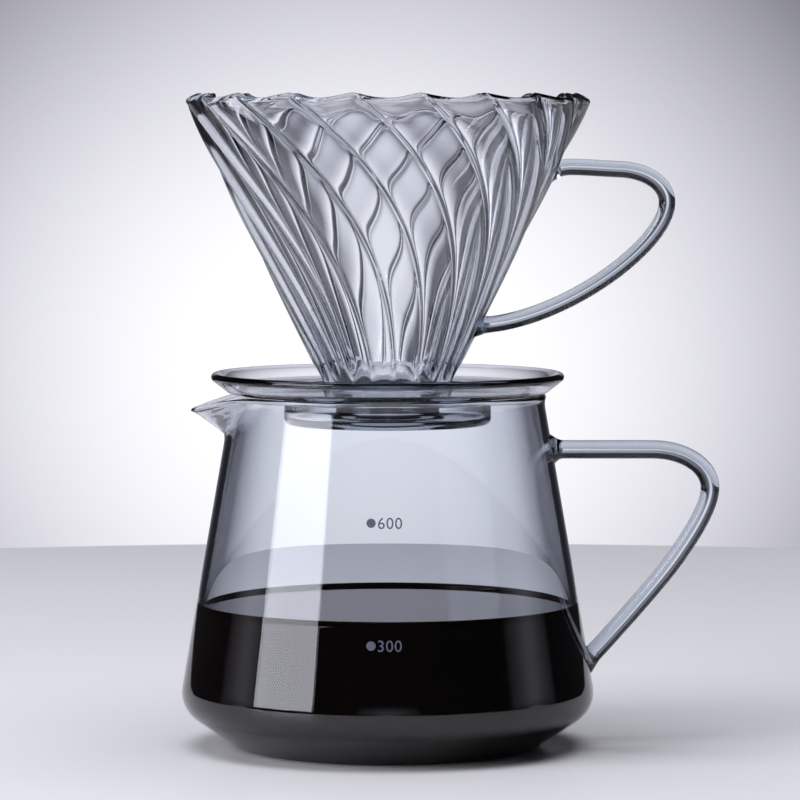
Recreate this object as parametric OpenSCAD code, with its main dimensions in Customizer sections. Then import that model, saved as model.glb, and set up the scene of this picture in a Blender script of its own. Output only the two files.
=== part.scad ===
// Fluted glass pour-over dripper standing on its matching range server.
// +Z is up, the origin is the centre of the server's foot, the spout points
// to -X and both handles point to +X. All sizes are in millimetres.

/* [Server] */
// Height of the server's rim above the table
server_h = 103; // [84:1:125]
// Radius of the flat foot
foot_r = 43.6; // [36:0.2:53]
// Radius where the lines of the foot's chamfer and the side wall meet
belly_r = 61; // [50.5:0.5:74]
// Height where the lines of the foot's chamfer and the side wall meet
belly_z = 11.6; // [9:0.2:16]
// Round of the belly
belly_round = 9; // [5:0.5:10]
// Round of the foot's edge
foot_round = 2.5; // [1:0.5:4]
// Outer radius of the neck, just under the lip
neck_r = 45.7; // [38:0.1:55]
// How far the lip turns out past the neck
lip_out = 0.4; // [0:0.1:1.5]
// Height of the lip
lip_h = 2.8; // [2.2:0.1:5]
// Thickness of the server's wall
server_wall = 2; // [1.4:0.1:2.6]
// Thickness of the server's floor
server_floor = 3; // [2:0.1:4.5]

/* [Spout] */
// How far the spout's tip stands out from the lip
spout_reach = 11; // [7:0.2:14]
// Drop of the spout's tip below the rim
spout_drop = 3.6; // [2:0.2:6]
// Height of the wall below the rim that the spout takes up
spout_depth = 13; // [10:0.5:18]
// Radius of the rounded tip
spout_tip_r = 1.6; // [1:0.1:2]

/* [Coffee] */
// Height of the coffee's surface above the table
coffee_level = 41; // [20:0.5:80]

/* [Capacity marks] */
// Height of the lower mark
mark_low_z = 35.6; // [28:0.2:45]
// Height of the upper mark
mark_high_z = 69.6; // [55:0.2:84]
// Height of a digit
digit_h = 3.2; // [2:0.1:5]
// Width of the printed line
stroke = 0.4; // [0.3:0.05:0.7]
// Thickness of the fired-on enamel
enamel = 0.15; // [0.1:0.05:0.3]
// Diameter of the dot beside the digits
dot_d = 2.7; // [1.5:0.1:4]

/* [Dripper cone] */
// Height of the cone's rim above the seat on the server
cone_h = 86.6; // [72:0.2:104]
// Mean outer radius of the cone at its rim
cone_top_r = 58.3; // [48:0.1:70]
// Outer radius of the cone's foot
cone_foot_r = 13.7; // [11:0.1:17]
// Horizontal thickness of the cone's wall
cone_wall = 2.3; // [1.8:0.1:3]
// Number of flutes round the cone
flutes = 18; // [12:1:24]
// Half depth of the flutes at the rim
flute_depth = 1.7; // [0.8:0.1:2.2]
// Height above the seat where the flutes begin
flute_start = 4; // [2:0.5:12]
// Angle that the flutes turn through between rim and foot
swirl = 57; // [0:1:90]
// How late the swirl sets in: 1 is a plain helix
swirl_power = 2; // [1:0.1:3]

/* [Saucer] */
// How far the saucer's edge stands out past the server's lip
saucer_flare = 5.3; // [3.5:0.1:9]
// Height of the saucer's edge above the seat
saucer_h = 6; // [4.5:0.1:9]
// Radius of the rolled edge
roll_r = 1.25; // [1:0.05:2]
// Thickness of the saucer
saucer_t = 2.2; // [1.8:0.1:3]
// Gap all round between its cup and the inside of the server's neck
cup_gap = 13.6; // [8:0.1:17]
// Depth of the cup below the seat
cup_depth = 9.2; // [6:0.2:12]
// Round of the cup's lower edge
cup_round = 2; // [1:0.1:2.5]
// Width of the fused bead round the cone's foot
foot_weld_w = 3; // [1.5:0.1:5]

/* [Dripper handle] */
// Diameter of its glass rod
dripper_rod = 4.8; // [4:0.1:6]
// Depth of its upper end below the cone's rim
dripper_top_drop = 22.3; // [14:0.1:30]
// Height of its lower end above the seat
dripper_low_z = 19.7; // [14:0.1:30]
// How far its centreline stands out past the cone's rim
dripper_reach = 22.9; // [17:0.1:36]

/* [Server handle] */
// Diameter of its glass rod
server_rod = 5.4; // [4.5:0.1:6.5]
// Depth of its upper end below the server's rim
server_top_drop = 16.4; // [12:0.1:24]
// Height of its lower end above the table
server_low_z = 24.4; // [20:0.1:34]
// How far its centreline stands out past the belly
server_reach = 33; // [24:0.2:48]

/* [Fused joints] */
// Length of the flare where a rod is fused to a wall
flare_len = 4.4; // [3:0.1:6]
// How far a flare widens beyond the rod's surface
flare_w = 1.9; // [1:0.1:3]

/* [Hidden] */

smoke = [0.55, 0.57, 0.61, 0.45];
coffee_brown = [0.07, 0.035, 0.02];
enamel_grey = [0.33, 0.34, 0.38];

// A hair of air under the saucer, so that the two vessels only touch
seat_gap = 0.1;
lip_r = neck_r + lip_out;
seat_z = server_h + seat_gap;
cup_r = neck_r - server_wall - cup_gap;
cup_floor_z = seat_z - cup_depth;
cone_foot_z = cup_floor_z + saucer_t;
cone_top_z = seat_z + cone_h;
outlet_r = cone_foot_r - cone_wall;
turn_fn = 96;
arc_steps = 8;

// ---- plane geometry ----

function unit(v) = v / norm(v);
function left_of(v) = [-v[1], v[0]];
function heading(w) = [cos(w), sin(w)];
function reversed(list) = [for (i = [len(list) - 1 : -1 : 0]) list[i]];

// Points of an arc round the centre c, between two angles
function arc(c, r, from, to) = [
    for (k = [0 : arc_steps]) c + r * heading(from + (to - from) * k / arc_steps)];

// Points of the arc that rounds corner b of the path a, b, c, with a radius
// of r or, next to a short side, as much of it as fits
function corner_arc(a, b, c, r) =
    let (
        u = unit(a - b), v = unit(c - b),
        half = acos(u * v) / 2,
        fit = min(r, 0.95 * min(norm(a - b), norm(c - b)) * tan(half)),
        centre = b + unit(u + v) * fit / sin(half),
        start = b + u * fit / tan(half) - centre,
        from = atan2(start[1], start[0]),
        side = cross(u, v) < 0 ? 1 : -1
    )
    arc(centre, fit, from, from + side * (180 - 2 * half));

// A path with each inner corner rounded by its own radius
function rounded(path, radii) = [
    for (i = [0 : len(path) - 1])
        each (radii[i] == 0
            ? [path[i]]
            : corner_arc(path[i - 1], path[i], path[i + 1], radii[i]))];

// The same path moved sideways by w, to its left
function beside(path, w) = [
    for (i = [0 : len(path) - 1])
        let (
            before = i == 0 ? path[1] - path[0] : path[i] - path[i - 1],
            after = i == len(path) - 1 ? before : path[i + 1] - path[i],
            n = left_of(unit(before)), m = left_of(unit(after)),
            mitre = unit(n + m)
        )
        path[i] + mitre * w / (mitre * n)];

module turned(points) {
    rotate_extrude($fn = turn_fn) polygon(points);
}

// ---- server ----

// The wall's outside, from the foot to the lip
server_side = [
    [foot_r, 0], [belly_r, belly_z],
    [neck_r, server_h - lip_h], [lip_r, server_h - server_wall / 2]];
// The wall's inside, which starts where it crosses the floor's top
inner_side = beside(server_side, server_wall);
inner_slope = (inner_side[1][0] - inner_side[0][0]) / (inner_side[1][1] - inner_side[0][1]);
inner_foot_r = inner_side[0][0] + (server_floor - inner_side[0][1]) * inner_slope;
neck_round = 6;
inner_foot_round = 4;
rim_centre = [lip_r - server_wall / 2, server_h - server_wall / 2];

// Radius of the straight side wall at height z
function server_r(z) =
    belly_r - (z - belly_z) * (belly_r - neck_r) / (server_h - lip_h - belly_z);

module server_outside() {
    side = rounded(
        concat([[0, 0]], server_side),
        [0, foot_round, belly_round, neck_round, 0]);
    turned(concat(side, arc(rim_centre, server_wall / 2, 0, 90), [[0, server_h]]));
}

// Everything inside the wall, open upwards past the rim
module server_inside() {
    side = rounded(
        concat([[0, server_floor], [inner_foot_r, server_floor]],
            [for (i = [1 : 3]) inner_side[i]]),
        [0, inner_foot_round, belly_round - server_wall, neck_round + server_wall, 0]);
    top = server_h + 1;
    turned(concat(side, [[lip_r - server_wall, top], [0, top]]));
}

// The hull of the mouth's circle, the spout's tip and its root on the wall
module spout_form(mouth_r, top_z, tip, root) {
    hull() {
        translate([0, 0, top_z - 1]) cylinder(r = mouth_r, h = 1, $fn = 64);
        translate([tip[0], 0, tip[1]]) sphere(r = spout_tip_r, $fn = 24);
        translate([root[0], 0, root[1]]) sphere(r = spout_tip_r, $fn = 24);
    }
}

module server_body() {
    root_z = server_h - spout_depth;
    root = [spout_tip_r * 1.2 - server_r(root_z), root_z];
    tip = [spout_tip_r - lip_r - spout_reach, server_h - spout_drop - spout_tip_r];
    inward = server_wall * [1, 1];
    color(smoke) {
        difference() {
            union() {
                server_outside();
                spout_form(lip_r - 0.3, rim_centre[1], tip, root);
            }
            server_inside();
            spout_form(lip_r - server_wall, server_h + 2, tip + inward, root + inward);
        }
    }
}

// ---- glass rods and fused joints ----

// Point of a cubic Bezier curve with the four control points in c
function bezier(c, t) =
    pow(1 - t, 3) * c[0] + 3 * pow(1 - t, 2) * t * c[1]
    + 3 * (1 - t) * t * t * c[2] + t * t * t * c[3];

// A chain of curves; each starts where the one before it ended
function chain(curves, steps) = [
    for (i = [0 : len(curves) - 1])
        for (k = [(i == 0 ? 0 : 1) : steps])
            bezier(curves[i], k / steps)];

rod_sides = 16;
rod_steps = 10;

// A round rod swept along points in the XZ plane
module rod(points, d) {
    n = len(points);
    rings = [
        for (i = [0 : n - 1])
            let (side = left_of(unit(points[min(i + 1, n - 1)] - points[max(i - 1, 0)])))
            for (k = [0 : rod_sides - 1])
                let (
                    turn = d / 2 * heading(360 * k / rod_sides),
                    at = points[i] + side * turn[0]
                )
                [at[0], turn[1], at[1]]];
    walls = [
        for (i = [0 : n - 2])
            for (k = [0 : rod_sides - 1])
                let (a = i * rod_sides + k, b = i * rod_sides + (k + 1) % rod_sides)
                each [[a, b, b + rod_sides], [a, b + rod_sides, a + rod_sides]]];
    start = [for (k = [rod_sides - 1 : -1 : 0]) k];
    end = [for (k = [0 : rod_sides - 1]) (n - 1) * rod_sides + k];
    polyhedron(points = rings, faces = concat(walls, [start, end]), convexity = 6);
}

// Flare from a wall out to a rod of diameter d. It starts in the wall at
// [x, z], leans up by tilt, and the children are cut away from it.
module weld(at, tilt, d) {
    widest = d / 2 + flare_w;
    back = 2 * flare_w;
    flare = arc([widest, flare_len], 1, 180, 270);
    curve = [for (p = flare) [
        d / 2 + flare_w * (p[0] - widest + 1),
        flare_len * (p[1] - flare_len + 1)]];
    difference() {
        translate([at[0], 0, at[1]]) rotate([0, 90 - tilt, 0])
            turned(concat([[0, -back], [widest, -back]], reversed(curve), [[0, flare_len]]));
        children();
    }
}

// Where the rod leaves that flare
function weld_end(at, tilt) = at + flare_len * heading(tilt);

// ---- server handle ----

server_top_z = server_h - server_top_drop;
server_top_at = [server_r(server_top_z), server_top_z];
server_low_at = [server_r(server_low_z), server_low_z];
server_top_tilt = 0;
server_low_tilt = 42;

module server_handle() {
    a = weld_end(server_top_at, server_top_tilt);
    e = weld_end(server_low_at, server_low_tilt);
    tall = server_top_z - server_low_z;
    out = belly_r + server_reach;
    shoulder = [out - 17, a[1]];
    elbow = [out, a[1] - 0.183 * tall];
    // The straight leg below the bend slopes in to the wall
    leg_top = [out - 10.3, server_low_z + 0.484 * tall];
    leg_slope = atan2(leg_top[1] - e[1], leg_top[0] - e[0]) + 3;
    curves = [
        [a, (2 * a + shoulder) / 3, (a + 2 * shoulder) / 3, shoulder],
        [shoulder, shoulder + [9.5, 0], elbow + [0, 6.6], elbow],
        [elbow, elbow - [0, 5.7], leg_top + 7 * heading(leg_slope), leg_top],
        [leg_top, leg_top - 9 * heading(leg_slope), e + 9 * heading(leg_slope - 3), e]];
    color(smoke) rod(chain(curves, rod_steps), server_rod);
}

// A cone in the middle of the server's wall, for cutting the flares
module server_mid_wall() {
    mid = server_wall / 2;
    translate([0, 0, belly_z])
        cylinder(r1 = belly_r - mid, r2 = neck_r - mid,
            h = server_h - lip_h - belly_z, $fn = turn_fn);
}

module server_handle_top_weld() {
    color(smoke) weld(server_top_at, server_top_tilt, server_rod) server_mid_wall();
}

module server_handle_bottom_weld() {
    color(smoke) weld(server_low_at, server_low_tilt, server_rod) server_mid_wall();
}

// ---- capacity marks and coffee ----

// A printed arc of radius r, centred on the origin
module arc_band(r, from, to) {
    polygon(concat(
        arc([0, 0], r + stroke / 2, from, to),
        arc([0, 0], r - stroke / 2, to, from)));
}

bowl_r = digit_h * 0.36 - stroke / 2;
bowl_rise = digit_h / 2 - bowl_r - stroke / 2;

// Each digit is centred on the origin
module digit_zero() {
    difference() {
        hull() zero_rounds(bowl_r + stroke / 2);
        hull() zero_rounds(bowl_r - stroke / 2);
    }
}

module zero_rounds(r) {
    for (s = [-1, 1]) translate([0, s * bowl_rise]) circle(r = r, $fn = 24);
}

module digit_six() {
    translate([0, -bowl_rise])
        difference() {
            circle(r = bowl_r + stroke / 2, $fn = 24);
            circle(r = bowl_r - stroke / 2, $fn = 24);
        }
    translate([-bowl_r - stroke / 2, -bowl_rise]) square([stroke, 2 * bowl_rise]);
    translate([0, bowl_rise]) arc_band(bowl_r, 30, 180);
}

module digit_three() {
    small = (digit_h - stroke) / 4;
    for (s = [-1, 1])
        translate([0, s * small])
            arc_band(small, s > 0 ? -90 : -150, s > 0 ? 150 : 90);
    translate([-small * 0.5, -stroke / 2]) square([small * 0.6, stroke]);
}

// A dot and three digits, printed on the front of the wall at height z
module capacity_mark(z) {
    pitch = digit_h * 0.83;
    first = -digit_h * 0.35;
    dot_x = -digit_h * 1.4;
    color(enamel_grey)
        intersection() {
            translate([0, 0, z]) rotate([90, 0, 0])
                linear_extrude(height = 2 * belly_r) {
                    translate([dot_x, 0]) circle(d = dot_d, $fn = 32);
                    translate([first, 0]) children(0);
                    for (k = [1, 2]) translate([first + k * pitch, 0]) digit_zero();
                }
            wall_skin(z);
        }
}

// A thin skin of enamel on the server's side wall, level with a mark
module wall_skin(z) {
    low = server_r(z - digit_h);
    high = server_r(z + digit_h);
    translate([0, 0, z])
        turned([
            [low, -digit_h], [low + enamel, -digit_h],
            [high + enamel, digit_h], [high, digit_h]]);
}

module mark_600() {
    capacity_mark(mark_high_z) digit_six();
}

module mark_300() {
    capacity_mark(mark_low_z) digit_three();
}

module coffee() {
    color(coffee_brown)
        intersection() {
            server_inside();
            cylinder(r = belly_r, h = coffee_level, $fn = turn_fn);
        }
}

// ---- dripper cone ----

ring_points = flutes * 6;
cone_levels = 20;
cone_lean = atan((cone_top_r - cone_foot_r) / (cone_top_z - cone_foot_z));
// Height over which the flutes rise out of the plain foot
flute_run = 7;

function cone_share(z) = (z - cone_foot_z) / (cone_top_z - cone_foot_z);
function cone_mean_r(z) = cone_foot_r + (cone_top_r - cone_foot_r) * cone_share(z);
function smooth(t) = let (u = min(max(t, 0), 1)) u * u * (3 - 2 * u);
// Flutes are as deep as their place on the cone is wide, and fade at the foot
function depth_at(z) =
    flute_depth * cone_mean_r(z) / cone_top_r
    * smooth((z - seat_z - flute_start) / flute_run);
// The creases swirl most near the rim and run nearly straight at the foot
function crease_angle(z) = swirl * (1 - pow(max(cone_share(z), 0), swirl_power));
// Wide rounded pillows at 1 and narrow creases between them at -1
function pillow(w) = 1 - 2 * pow((1 + cos(w)) / 2, 1.5);

// A point of the wall: k steps round from the first crease, at height z, inset
// from the outside. The rings turn with the swirl, so each column of points
// keeps its place on a flute. Flutes move the wall square to itself, so a
// crease lifts the rim a little.
function cone_point(k, z, inset) =
    let (
        turn = 360 * k / ring_points,
        a = turn + crease_angle(z),
        keep = 1 - 0.25 * inset / cone_wall,
        push = keep * depth_at(z) * pillow(flutes * turn),
        r = cone_mean_r(z) - inset + push * cos(cone_lean)
    )
    [r * cos(a), r * sin(a), z - push * sin(cone_lean)];

module cone_shell() {
    n = ring_points;
    shoulder = cone_top_z - cone_wall / 2;
    up = [
        for (j = [0 : cone_levels])
            [cone_foot_z + (shoulder - cone_foot_z) * j / cone_levels, 0]];
    down = [for (p = reversed(up)) [p[0], cone_wall]];
    levels = concat(up, [[cone_top_z, cone_wall / 2]], down);
    points = [for (p = levels) for (k = [0 : n - 1]) cone_point(k, p[0], p[1])];
    rings = len(levels);
    // Each ring is joined to the next one, and the last to the first
    faces = [
        for (j = [0 : rings - 1])
            let (next = (j + 1) % rings - j)
            for (k = [0 : n - 1])
                let (a = j * n + k, b = j * n + (k + 1) % n)
                each [[a, a + next * n, b + next * n], [a, b + next * n, b]]];
    color(smoke) polyhedron(points = points, faces = faces, convexity = 10);
}

// Bead that fuses the cone's plain foot to the floor of the cup
module foot_weld() {
    rise = foot_weld_w * 0.9;
    top_r = cone_mean_r(cone_foot_z + rise);
    base_r = cone_foot_r + foot_weld_w;
    hollow = [
        for (k = [0 : arc_steps])
            let (w = 90 * k / arc_steps)
            [base_r - (base_r - top_r) * sin(w), cone_foot_z + rise * (1 - cos(w))]];
    color(smoke) turned(concat([[cone_foot_r, cone_foot_z]], hollow));
}

// ---- stepped saucer ----

module stepped_saucer() {
    roll = [lip_r + saucer_flare - roll_r, seat_z + saucer_h - roll_r];
    roll_turn = -50;
    top = seat_z + saucer_t;
    wall_r = cup_r - saucer_t;
    below = rounded(
        [[outlet_r, cup_floor_z], [cup_r, cup_floor_z], [cup_r, seat_z],
            [lip_r, seat_z], roll + roll_r * heading(roll_turn)],
        [0, cup_round, 0, 2.5, 0]);
    above = rounded(
        [roll - roll_r * heading(roll_turn), [lip_r - 0.8, top],
            [wall_r, top], [wall_r, cone_foot_z], [outlet_r, cone_foot_z]],
        [0, 2, 1, 1, 0]);
    edge = arc(roll, roll_r, roll_turn, roll_turn + 180);
    color(smoke)
        turned(concat(below, [for (i = [1 : arc_steps - 1]) edge[i]], above));
}

// ---- dripper handle ----

dripper_top_z = cone_top_z - dripper_top_drop;
dripper_top_at = [cone_mean_r(dripper_top_z), dripper_top_z];
dripper_low_at = [cone_mean_r(seat_z + dripper_low_z), seat_z + dripper_low_z];
dripper_top_tilt = 18;
dripper_low_tilt = 0;

// A cone in the middle of the dripper's wall, for cutting the flares
module cone_mid_wall() {
    mid = cone_wall / 2;
    translate([0, 0, cone_foot_z])
        cylinder(r1 = cone_foot_r - mid, r2 = cone_top_r - mid,
            h = cone_top_z - cone_foot_z, $fn = turn_fn);
}

module dripper_handle() {
    a = weld_end(dripper_top_at, dripper_top_tilt);
    e = weld_end(dripper_low_at, dripper_low_tilt);
    out = cone_top_r + dripper_reach;
    shoulder = [out - 13.2, a[1] - 0.7];
    elbow = [out, a[1] - 10.3];
    curves = [
        [a, a + [5, 0], shoulder - [5, -0.2], shoulder],
        [shoulder, shoulder + [7.5, -0.5], elbow + [0, 5.3], elbow],
        [elbow, elbow - [0, 12.5], e + [20, 0], e]];
    color(smoke) rod(chain(curves, rod_steps), dripper_rod);
}

module dripper_handle_top_weld() {
    color(smoke) weld(dripper_top_at, dripper_top_tilt, dripper_rod) cone_mid_wall();
}

module dripper_handle_bottom_weld() {
    color(smoke) weld(dripper_low_at, dripper_low_tilt, dripper_rod) cone_mid_wall();
}

cone_shell();
foot_weld();
stepped_saucer();
dripper_handle();
dripper_handle_top_weld();
dripper_handle_bottom_weld();
server_body();
server_handle();
server_handle_top_weld();
server_handle_bottom_weld();
mark_600();
mark_300();
coffee();
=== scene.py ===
"""Studio dressing for a fluted glass pour-over dripper on its range server.

Lengths are in metres, written as millimetres times MM. Angles that are sizes are
in degrees.
"""

import logging
import math
from dataclasses import dataclass, field
from enum import Enum
from typing import Callable

import bmesh
import bpy
from mathutils import Matrix, Vector


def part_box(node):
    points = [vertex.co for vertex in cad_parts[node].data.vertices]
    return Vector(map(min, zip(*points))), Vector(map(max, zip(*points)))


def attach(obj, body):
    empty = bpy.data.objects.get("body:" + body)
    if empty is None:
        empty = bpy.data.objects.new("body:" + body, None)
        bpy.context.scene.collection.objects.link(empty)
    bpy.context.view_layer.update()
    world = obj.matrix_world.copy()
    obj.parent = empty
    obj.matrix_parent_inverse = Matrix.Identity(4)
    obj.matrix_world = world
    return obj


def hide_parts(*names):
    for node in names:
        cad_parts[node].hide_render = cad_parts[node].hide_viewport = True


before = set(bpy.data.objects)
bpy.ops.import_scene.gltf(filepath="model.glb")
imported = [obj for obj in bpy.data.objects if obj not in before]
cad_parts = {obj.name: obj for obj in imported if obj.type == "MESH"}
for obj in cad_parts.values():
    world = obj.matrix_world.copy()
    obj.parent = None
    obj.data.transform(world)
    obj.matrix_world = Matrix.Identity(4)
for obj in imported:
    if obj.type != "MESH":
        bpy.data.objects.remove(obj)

log = logging.getLogger("dripper_set")
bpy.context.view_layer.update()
MM = 0.001
SECTORS = 18
Tone = tuple[float, float, float]


class Body(Enum):
    """The two bodies that part from each other when the dripper is lifted."""

    SERVER = "server"
    DRIPPER = "dripper"


# ---- outlines and meshes ----


def arc(centre: Vector, radius: float, start: float, end: float, steps: int = 8) -> list[Vector]:
    """Points of an arc in the (radius, height) plane.

    Args:
        centre: The arc's centre.
        radius: Its radius in metres.
        start: First angle in degrees.
        end: Last angle in degrees.
        steps: Number of stretches.

    Returns:
        The arc's points, both ends included.
    """
    angles = [math.radians(start + (end - start) * k / steps) for k in range(steps + 1)]
    return [centre + radius * Vector((math.cos(w), math.sin(w))) for w in angles]


def rounded(path: list[Vector], radii: list[float], steps: int = 10) -> list[Vector]:
    """Rounds the corners of an outline.

    Args:
        path: The outline's corners in the (radius, height) plane.
        radii: One radius per corner, 0 to leave it sharp.
        steps: Number of stretches in each round.

    Returns:
        The outline's points.
    """
    points: list[Vector] = []
    for i, (corner, radius) in enumerate(zip(path, radii)):
        if radius == 0:
            points.append(corner)
            continue
        to_last = (path[i - 1] - corner).normalized()
        to_next = (path[i + 1] - corner).normalized()
        half = to_last.angle(to_next) / 2
        centre = corner + (to_last + to_next).normalized() * radius / math.sin(half)
        first = corner + to_last * radius / math.tan(half) - centre
        last = corner + to_next * radius / math.tan(half) - centre
        sweep = first.angle_signed(last)
        start = math.atan2(first.y, first.x)
        points += arc(centre, radius, math.degrees(start), math.degrees(start - sweep), steps)
    return points


def divided(start: Vector, end: Vector, steps: int) -> list[Vector]:
    """Evenly spaced points from start up to, but not including, end.

    Args:
        start: First point.
        end: The point after the last one.
        steps: Number of points.

    Returns:
        The points.
    """
    return [start.lerp(end, k / steps) for k in range(steps)]


def spun(outline: list[Vector], steps: int, closed: bool) -> bmesh.types.BMesh:
    """Turns an outline round the Z axis into a closed wall.

    One sector is spun, and its turned copies are merged with it.

    Args:
        outline: Points in the (radius, height) plane.
        steps: Number of steps in each sector.
        closed: True for a ring, whose last point joins its first. An open
            outline starts and ends on the axis.

    Returns:
        The mesh, with its faces pointing outwards.
    """
    bm = bmesh.new()
    verts = [bm.verts.new((p.x, 0.0, p.y)) for p in outline]
    edges = [bm.edges.new(pair) for pair in zip(verts, verts[1:])]
    if closed:
        edges.append(bm.edges.new((verts[-1], verts[0])))
    bmesh.ops.spin(
        bm, geom=verts + edges, cent=(0, 0, 0), axis=(0, 0, 1),
        angle=math.tau / SECTORS, steps=steps, use_merge=False,
    )
    sector = bm.verts[:] + bm.edges[:] + bm.faces[:]
    for k in range(1, SECTORS):
        copy = bmesh.ops.duplicate(bm, geom=sector)["geom"]
        turned = [v for v in copy if isinstance(v, bmesh.types.BMVert)]
        turn = Matrix.Rotation(k * math.tau / SECTORS, 3, "Z")
        bmesh.ops.rotate(bm, verts=turned, cent=(0, 0, 0), matrix=turn)
    bmesh.ops.remove_doubles(bm, verts=bm.verts, dist=1e-6)
    bmesh.ops.recalc_face_normals(bm, faces=bm.faces)
    return bm


@dataclass(frozen=True)
class Ring:
    """One ring of a rod: its centre, the way it faces and its two half widths."""

    centre: Vector
    facing: Vector
    across: float
    tall: float


def lofted(rings: list[Ring], sides: int) -> bmesh.types.BMesh:
    """Bridges rings, whose centres lie in an XZ plane, into a capped rod.

    Args:
        rings: The rings from one end to the other.
        sides: Number of sides.

    Returns:
        The mesh, with its faces pointing outwards.
    """
    bm = bmesh.new()
    sideways = Vector((0.0, 1.0, 0.0))
    last: list[bmesh.types.BMEdge] = []
    for i, ring in enumerate(rings):
        upright = sideways.cross(ring.facing).normalized()
        turn = Matrix((sideways * ring.across, upright * ring.tall, ring.facing)).transposed()
        place = Matrix.Translation(ring.centre) @ turn.to_4x4()
        made = bmesh.ops.create_circle(
            bm, segments=sides, radius=1.0, matrix=place,
            cap_ends=i in (0, len(rings) - 1),
        )
        edges = list({e for v in made["verts"] for e in v.link_edges})
        if last:
            bmesh.ops.bridge_loops(bm, edges=last + edges)
        last = edges
    bmesh.ops.recalc_face_normals(bm, faces=bm.faces)
    return bm


def moved(bm: bmesh.types.BMesh, rule: Callable[[Vector], Vector]) -> None:
    """Moves every vertex of a mesh by a rule."""
    for vert in bm.verts:
        vert.co = rule(vert.co)


def bezier(points: list[Vector], t: float) -> Vector:
    """Point of a cubic curve.

    Args:
        points: Its two ends, with the two points that bend it between them.
        t: How far along it the point lies, from 0 to 1.

    Returns:
        The point.
    """
    a, b, c, d = points
    s = 1 - t
    return a * s**3 + b * (3 * s * s * t) + c * (3 * s * t * t) + d * t**3


def smooth(t: float) -> float:
    """Eases a share from 0 to 1."""
    t = min(max(t, 0.0), 1.0)
    return t * t * (3 - 2 * t)


def finished(bm: bmesh.types.BMesh, name: str, body: Body,
             material: bpy.types.Material, replaced: list[str],
             rounded_off: bool = True) -> bpy.types.Object:
    """Makes a mesh one of the object's pieces.

    Args:
        bm: The mesh, which is freed.
        name: The piece's name.
        body: The body that it rides on.
        material: Its material.
        replaced: The design nodes that it stands for.
        rounded_off: False for a piece with flat faces and sharp edges.

    Returns:
        The new object.
    """
    mesh = bpy.data.meshes.new(name)
    for face in bm.faces:
        face.smooth = rounded_off
    bm.to_mesh(mesh)
    bm.free()
    mesh.materials.append(material)
    piece = bpy.data.objects.new(name, mesh)
    bpy.context.scene.collection.objects.link(piece)
    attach(piece, body.value)
    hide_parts(*replaced)
    log.info("%s: %d faces on %s", name, len(mesh.polygons), body.value)
    return piece


# ---- finishes ----


def node_group(name: str, inputs: dict[str, float], outputs: dict[str, str]) -> bpy.types.NodeTree:
    """An empty shader group with named sockets.

    Args:
        name: The group's name.
        inputs: Names and defaults of its float inputs; a coordinate input is added.
        outputs: Names and socket types of its outputs.

    Returns:
        The group.
    """
    group = bpy.data.node_groups.new(name, "ShaderNodeTree")
    group.interface.new_socket("Place", in_out="INPUT", socket_type="NodeSocketVector")
    for label, default in inputs.items():
        made = group.interface.new_socket(label, in_out="INPUT", socket_type="NodeSocketFloat")
        made.default_value = default
    for label, kind in outputs.items():
        group.interface.new_socket(label, in_out="OUTPUT", socket_type=kind)
    return group


def handling_marks() -> bpy.types.NodeTree:
    """Faint smears and water spots of wiped glass, as a roughness.

    Returns:
        A group with a Roughness output.
    """
    group = node_group(
        "handling_marks",
        {"Smear size": 22.0, "Spot size": 260.0, "Clean": 0.0, "Smeared": 0.03},
        {"Roughness": "NodeSocketFloat"},
    )
    nodes, links = group.nodes, group.links
    given = nodes.new("NodeGroupInput")
    out = nodes.new("NodeGroupOutput")
    smear = nodes.new("ShaderNodeTexNoise")
    smear.inputs["Detail"].default_value = 4.0
    spots = nodes.new("ShaderNodeTexVoronoi")
    smear_start, smear_end = 0.52, 0.78
    shape = nodes.new("ShaderNodeMapRange")
    shape.inputs["From Min"].default_value = smear_start
    shape.inputs["From Max"].default_value = smear_end
    spot_edge, spot_middle = 0.16, 0.05
    dots = nodes.new("ShaderNodeMapRange")
    dots.inputs["From Min"].default_value = spot_edge
    dots.inputs["From Max"].default_value = spot_middle
    spot_share = 0.35
    both = nodes.new("ShaderNodeMath")
    both.operation = "MULTIPLY_ADD"
    both.inputs[1].default_value = spot_share
    level = nodes.new("ShaderNodeMapRange")
    links.new(given.outputs["Place"], smear.inputs["Vector"])
    links.new(given.outputs["Smear size"], smear.inputs["Scale"])
    links.new(given.outputs["Place"], spots.inputs["Vector"])
    links.new(given.outputs["Spot size"], spots.inputs["Scale"])
    links.new(smear.outputs["Fac"], shape.inputs["Value"])
    links.new(spots.outputs["Distance"], dots.inputs["Value"])
    links.new(dots.outputs["Result"], both.inputs[0])
    links.new(shape.outputs["Result"], both.inputs[2])
    links.new(both.outputs["Value"], level.inputs["Value"])
    links.new(given.outputs["Clean"], level.inputs["To Min"])
    links.new(given.outputs["Smeared"], level.inputs["To Max"])
    links.new(level.outputs["Result"], out.inputs["Roughness"])
    return group


def hand_ripple() -> bpy.types.NodeTree:
    """The slow ripple of hand-worked glass or of a liquid's skin, as a normal.

    Returns:
        A group with a Normal output.
    """
    group = node_group(
        "hand_ripple",
        {"Ripple size": 30.0, "Strength": 0.1, "Depth": 0.0002},
        {"Normal": "NodeSocketVector"},
    )
    nodes, links = group.nodes, group.links
    given = nodes.new("NodeGroupInput")
    out = nodes.new("NodeGroupOutput")
    wave = nodes.new("ShaderNodeTexNoise")
    wave.inputs["Detail"].default_value = 1.5
    bump = nodes.new("ShaderNodeBump")
    links.new(given.outputs["Place"], wave.inputs["Vector"])
    links.new(given.outputs["Ripple size"], wave.inputs["Scale"])
    links.new(wave.outputs["Fac"], bump.inputs["Height"])
    links.new(given.outputs["Strength"], bump.inputs["Strength"])
    links.new(given.outputs["Depth"], bump.inputs["Distance"])
    links.new(bump.outputs["Normal"], out.inputs["Normal"])
    return group


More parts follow.
